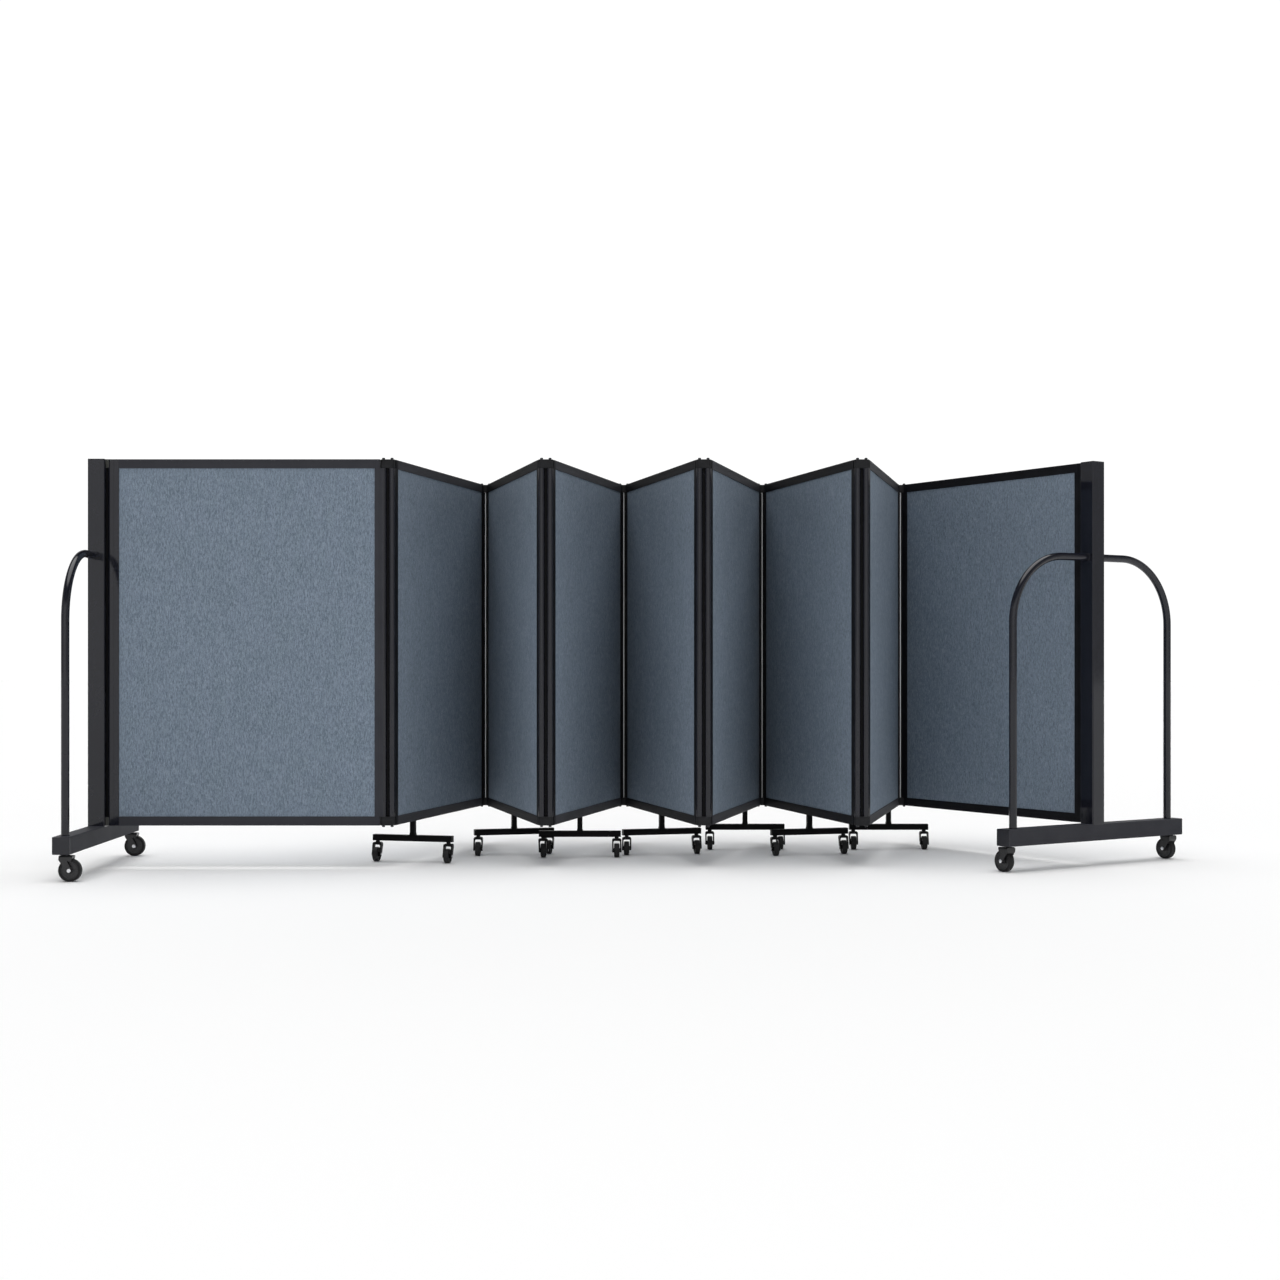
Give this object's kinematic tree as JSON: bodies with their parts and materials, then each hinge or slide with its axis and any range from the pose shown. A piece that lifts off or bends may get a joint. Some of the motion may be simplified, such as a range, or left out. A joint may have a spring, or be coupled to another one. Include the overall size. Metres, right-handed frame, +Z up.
{
  "type": "accordion folding partition",
  "caption": "Low mobile room divider: fabric-covered leaves hinged in a zigzag on T-legs with swivel casters, with a hooped, castered frame at each end.",
  "frame": {"origin": "on the floor, at the middle of the part's outline as it stands half folded", "axes": "+X along the partition's length from the left end frame to the right one, +Y from the near hinges to the far hinges, +Z up"},
  "size_m": [3.3364, 1.1658, 1.224],
  "materials": {
    "black_aluminium": "semi-gloss black powder coat on aluminium",
    "black_steel": "semi-gloss black powder coat on steel tube",
    "fabric": "blue-grey woven panel fabric with a mottled slub",
    "hinge_plastic": "fine-textured dark grey plastic",
    "caster_plastic": "black moulded plastic"
  },
  "bodies": {
    "leaf_1": {"leaf_frame_1": "black_aluminium", "leaf_fabric_1": "fabric", "end_frame_left": "black_steel", "hoop_left": "black_steel"},
    "leaf_2": {"leaf_frame_2": "black_aluminium", "leaf_fabric_2": "fabric", "leg_2": "black_steel"},
    "leaf_3": {"leaf_frame_3": "black_aluminium", "leaf_fabric_3": "fabric", "leg_3": "black_steel"},
    "leaf_4": {"leaf_frame_4": "black_aluminium", "leaf_fabric_4": "fabric", "leg_4": "black_steel"},
    "leaf_5": {"leaf_frame_5": "black_aluminium", "leaf_fabric_5": "fabric", "leg_5": "black_steel"},
    "leaf_6": {"leaf_frame_6": "black_aluminium", "leaf_fabric_6": "fabric", "leg_6": "black_steel"},
    "leaf_7": {"leaf_frame_7": "black_aluminium", "leaf_fabric_7": "fabric", "leg_7": "black_steel"},
    "leaf_8": {"leaf_frame_8": "black_aluminium", "leaf_fabric_8": "fabric", "leg_8": "black_steel"},
    "leaf_9": {"leaf_frame_9": "black_aluminium", "leaf_fabric_9": "fabric", "end_frame_right": "black_steel", "hoop_right": "black_steel"},
    "link_1": {"hinge_1": "hinge_plastic"},
    "link_2": {"hinge_2": "hinge_plastic"},
    "link_3": {"hinge_3": "hinge_plastic"},
    "link_4": {"hinge_4": "hinge_plastic"},
    "link_5": {"hinge_5": "hinge_plastic"},
    "link_6": {"hinge_6": "hinge_plastic"},
    "link_7": {"hinge_7": "hinge_plastic"},
    "link_8": {"hinge_8": "hinge_plastic"},
    "leg_caster_2_left": {"leg_caster_2_left": "caster_plastic"},
    "leg_caster_2_right": {"leg_caster_2_right": "caster_plastic"},
    "leg_caster_3_left": {"leg_caster_3_left": "caster_plastic"},
    "leg_caster_3_right": {"leg_caster_3_right": "caster_plastic"},
    "leg_caster_4_left": {"leg_caster_4_left": "caster_plastic"},
    "leg_caster_4_right": {"leg_caster_4_right": "caster_plastic"},
    "leg_caster_5_left": {"leg_caster_5_left": "caster_plastic"},
    "leg_caster_5_right": {"leg_caster_5_right": "caster_plastic"},
    "leg_caster_6_left": {"leg_caster_6_left": "caster_plastic"},
    "leg_caster_6_right": {"leg_caster_6_right": "caster_plastic"},
    "leg_caster_7_left": {"leg_caster_7_left": "caster_plastic"},
    "leg_caster_7_right": {"leg_caster_7_right": "caster_plastic"},
    "leg_caster_8_left": {"leg_caster_8_left": "caster_plastic"},
    "leg_caster_8_right": {"leg_caster_8_right": "caster_plastic"},
    "end_fork_left_front": {"end_fork_left_front": "caster_plastic"},
    "end_wheel_left_front": {"end_wheel_left_front": "caster_plastic"},
    "end_fork_left_rear": {"end_fork_left_rear": "caster_plastic"},
    "end_wheel_left_rear": {"end_wheel_left_rear": "caster_plastic"},
    "end_fork_right_front": {"end_fork_right_front": "caster_plastic"},
    "end_wheel_right_front": {"end_wheel_right_front": "caster_plastic"},
    "end_fork_right_rear": {"end_fork_right_rear": "caster_plastic"},
    "end_wheel_right_rear": {"end_wheel_right_rear": "caster_plastic"}
  },
  "joints": [
    {"name": "hinge_1_pin_b", "type": "hinge", "parent": "leaf_2", "child": "link_1", "pos_m": [-0.76634, -0.2119, 1.219], "axis": [0, 0, -1], "range_deg": [-140, 5]},
    {"name": "hinge_1_pin_a", "type": "hinge", "parent": "link_1", "child": "leaf_1", "pos_m": [-0.79174, -0.2119, 1.219], "axis": [0, 0, -1], "range_deg": [-65, 80]},
    {"name": "hinge_2_pin_b", "type": "hinge", "parent": "leaf_3", "child": "link_2", "pos_m": [-0.53052, 0.5734, 1.219], "axis": [0, 0, 1], "range_deg": [-140, 5]},
    {"name": "hinge_2_pin_a", "type": "hinge", "parent": "link_2", "child": "leaf_2", "pos_m": [-0.55592, 0.5734, 1.219], "axis": [0, 0, 1], "range_deg": [-140, 5]},
    {"name": "hinge_3_pin_b", "type": "hinge", "parent": "leaf_4", "child": "link_3", "pos_m": [-0.2947, -0.2119, 1.219], "axis": [0, 0, -1], "range_deg": [-140, 5]},
    {"name": "hinge_3_pin_a", "type": "hinge", "parent": "link_3", "child": "leaf_3", "pos_m": [-0.3201, -0.2119, 1.219], "axis": [0, 0, -1], "range_deg": [-140, 5]},
    {"name": "hinge_4_pin_b", "type": "hinge", "parent": "leaf_5", "child": "link_4", "pos_m": [-0.05888, 0.5734, 1.219], "axis": [0, 0, 1], "range_deg": [-140, 5]},
    {"name": "hinge_4_pin_a", "type": "hinge", "parent": "link_4", "child": "leaf_4", "pos_m": [-0.08428, 0.5734, 1.219], "axis": [0, 0, 1], "range_deg": [-140, 5]},
    {"name": "hinge_5_pin_a", "type": "hinge", "parent": "leaf_5", "child": "link_5", "pos_m": [0.15154, -0.2119, 1.219], "axis": [0, 0, 1], "range_deg": [-140, 5]},
    {"name": "hinge_5_pin_b", "type": "hinge", "parent": "link_5", "child": "leaf_6", "pos_m": [0.17694, -0.2119, 1.219], "axis": [0, 0, 1], "range_deg": [-140, 5]},
    {"name": "hinge_6_pin_a", "type": "hinge", "parent": "leaf_6", "child": "link_6", "pos_m": [0.38736, 0.5734, 1.219], "axis": [0, 0, -1], "range_deg": [-140, 5]},
    {"name": "hinge_6_pin_b", "type": "hinge", "parent": "link_6", "child": "leaf_7", "pos_m": [0.41276, 0.5734, 1.219], "axis": [0, 0, -1], "range_deg": [-140, 5]},
    {"name": "hinge_7_pin_a", "type": "hinge", "parent": "leaf_7", "child": "link_7", "pos_m": [0.62318, -0.2119, 1.219], "axis": [0, 0, 1], "range_deg": [-140, 5]},
    {"name": "hinge_7_pin_b", "type": "hinge", "parent": "link_7", "child": "leaf_8", "pos_m": [0.64858, -0.2119, 1.219], "axis": [0, 0, 1], "range_deg": [-140, 5]},
    {"name": "hinge_8_pin_a", "type": "hinge", "parent": "leaf_8", "child": "link_8", "pos_m": [0.859, 0.5734, 1.219], "axis": [0, 0, -1], "range_deg": [-140, 5]},
    {"name": "hinge_8_pin_b", "type": "hinge", "parent": "link_8", "child": "leaf_9", "pos_m": [0.8844, 0.5734, 1.219], "axis": [0, 0, -1], "range_deg": [-122.5, 22.5]},
    {"name": "leg_swivel_2_left", "type": "hinge", "parent": "leaf_2", "child": "leg_caster_2_left", "pos_m": [-0.83413, -0.0167, 0.064], "axis": [0, 0, 1], "continuous": true},
    {"name": "leg_swivel_2_right", "type": "hinge", "parent": "leaf_2", "child": "leg_caster_2_right", "pos_m": [-0.61003, -0.07675, 0.064], "axis": [0, 0, 1], "continuous": true},
    {"name": "leg_swivel_3_left", "type": "hinge", "parent": "leaf_3", "child": "leg_caster_3_left", "pos_m": [-0.53568, 0.14445, 0.064], "axis": [0, 0, 1], "continuous": true},
    {"name": "leg_swivel_3_right", "type": "hinge", "parent": "leaf_3", "child": "leg_caster_3_right", "pos_m": [-0.31158, 0.20449, 0.064], "axis": [0, 0, 1], "continuous": true},
    {"name": "leg_swivel_4_left", "type": "hinge", "parent": "leaf_4", "child": "leg_caster_4_left", "pos_m": [-0.32788, 0.0972, 0.064], "axis": [0, 0, 1], "continuous": true},
    {"name": "leg_swivel_4_right", "type": "hinge", "parent": "leaf_4", "child": "leg_caster_4_right", "pos_m": [-0.09588, 0.0972, 0.064], "axis": [0, 0, 1], "continuous": true},
    {"name": "leg_swivel_5_left", "type": "hinge", "parent": "leaf_5", "child": "leg_caster_5_left", "pos_m": [-0.06404, 0.14445, 0.064], "axis": [0, 0, 1], "continuous": true},
    {"name": "leg_swivel_5_right", "type": "hinge", "parent": "leaf_5", "child": "leg_caster_5_right", "pos_m": [0.16006, 0.20449, 0.064], "axis": [0, 0, 1], "continuous": true},
    {"name": "leg_swivel_6_left", "type": "hinge", "parent": "leaf_6", "child": "leg_caster_6_left", "pos_m": [0.20976, 0.34351, 0.064], "axis": [0, 0, 1], "continuous": true},
    {"name": "leg_swivel_6_right", "type": "hinge", "parent": "leaf_6", "child": "leg_caster_6_right", "pos_m": [0.44176, 0.34351, 0.064], "axis": [0, 0, 1], "continuous": true},
    {"name": "leg_swivel_7_left", "type": "hinge", "parent": "leaf_7", "child": "leg_caster_7_left", "pos_m": [0.4076, 0.14445, 0.064], "axis": [0, 0, 1], "continuous": true},
    {"name": "leg_swivel_7_right", "type": "hinge", "parent": "leaf_7", "child": "leg_caster_7_right", "pos_m": [0.6317, 0.20449, 0.064], "axis": [0, 0, 1], "continuous": true},
    {"name": "leg_swivel_8_left", "type": "hinge", "parent": "leaf_8", "child": "leg_caster_8_left", "pos_m": [0.6814, 0.34351, 0.064], "axis": [0, 0, 1], "continuous": true},
    {"name": "leg_swivel_8_right", "type": "hinge", "parent": "leaf_8", "child": "leg_caster_8_right", "pos_m": [0.9134, 0.34351, 0.064], "axis": [0, 0, 1], "continuous": true},
    {"name": "end_swivel_left_front", "type": "hinge", "parent": "leaf_1", "child": "end_fork_left_front", "pos_m": [-1.64324, -0.5579, 0.077], "axis": [0, 0, 1], "continuous": true},
    {"name": "end_spin_left_front", "type": "hinge", "parent": "end_fork_left_front", "child": "end_wheel_left_front", "pos_m": [-1.62424, -0.5579, 0.032], "axis": [0, 1, 0], "continuous": true},
    {"name": "end_swivel_left_rear", "type": "hinge", "parent": "leaf_1", "child": "end_fork_left_rear", "pos_m": [-1.64324, 0.1341, 0.077], "axis": [0, 0, 1], "continuous": true},
    {"name": "end_spin_left_rear", "type": "hinge", "parent": "end_fork_left_rear", "child": "end_wheel_left_rear", "pos_m": [-1.62424, 0.1341, 0.032], "axis": [0, 1, 0], "continuous": true},
    {"name": "end_swivel_right_front", "type": "hinge", "parent": "leaf_9", "child": "end_fork_right_front", "pos_m": [1.0501, -0.33065, 0.077], "axis": [0, 0, 1], "continuous": true},
    {"name": "end_spin_right_front", "type": "hinge", "parent": "end_fork_right_front", "child": "end_wheel_right_front", "pos_m": [1.03989, -0.31463, 0.032], "axis": [-0.8434, -0.5373, 0], "continuous": true},
    {"name": "end_swivel_right_rear", "type": "hinge", "parent": "leaf_9", "child": "end_fork_right_rear", "pos_m": [1.63372, 0.04116, 0.077], "axis": [0, 0, 1], "continuous": true},
    {"name": "end_spin_right_rear", "type": "hinge", "parent": "end_fork_right_rear", "child": "end_wheel_right_rear", "pos_m": [1.62351, 0.05718, 0.032], "axis": [-0.8434, -0.5373, 0], "continuous": true}
  ]
}
